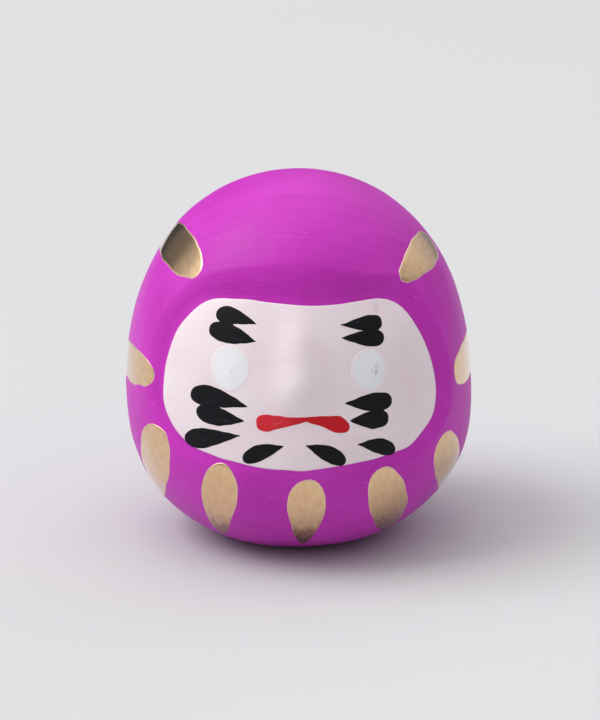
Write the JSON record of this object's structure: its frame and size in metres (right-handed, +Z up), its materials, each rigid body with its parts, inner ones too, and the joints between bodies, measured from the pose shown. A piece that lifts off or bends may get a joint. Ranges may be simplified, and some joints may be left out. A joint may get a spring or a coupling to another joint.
{
  "type": "daruma doll",
  "caption": "Round papier-mache daruma doll with a sunken face window, painted brush marks and gold drops, standing on a weighted flat foot.",
  "frame": {"origin": "centre of the flat foot, on the surface the doll stands on", "axes": "+Z up, the doll faces -Y, +X is to the right of someone who looks at its face"},
  "size_m": [0.0502, 0.0479, 0.053],
  "materials": {
    "paper": "bare layered papier-mache, matt",
    "clay": "unglazed clay, matt",
    "washi": "thin pasted paper, matt",
    "magenta": "brushed water paint, satin",
    "face_pink": "brushed water paint, matt",
    "eye_white": "thick paint, satin",
    "ink_black": "brush ink, slight sheen",
    "mouth_red": "brushed paint, satin",
    "gold": "metallic gold paint, glossy"
  },
  "bodies": {
    "root": {"paper_shell": "paper", "clay_weight": "clay", "back_seam_strip": "washi", "base_seam_strip": "washi", "magenta_coat": "magenta", "face_coat": "face_pink", "eye_white_left": "eye_white", "eye_white_right": "eye_white", "brow_left": "ink_black", "brow_right": "ink_black", "whisker_left": "ink_black", "whisker_right": "ink_black", "beard_side_left": "ink_black", "beard_side_right": "ink_black", "beard_chin_left": "ink_black", "beard_chin_right": "ink_black", "mouth": "mouth_red", "gold_drop_top_left": "gold", "gold_drop_side_left": "gold", "gold_drop_low_left": "gold", "gold_drop_front_left": "gold", "gold_drop_front_centre": "gold", "gold_drop_front_right": "gold", "gold_drop_low_right": "gold", "gold_drop_side_right": "gold", "gold_drop_top_right": "gold"}
  },
  "joints": []
}
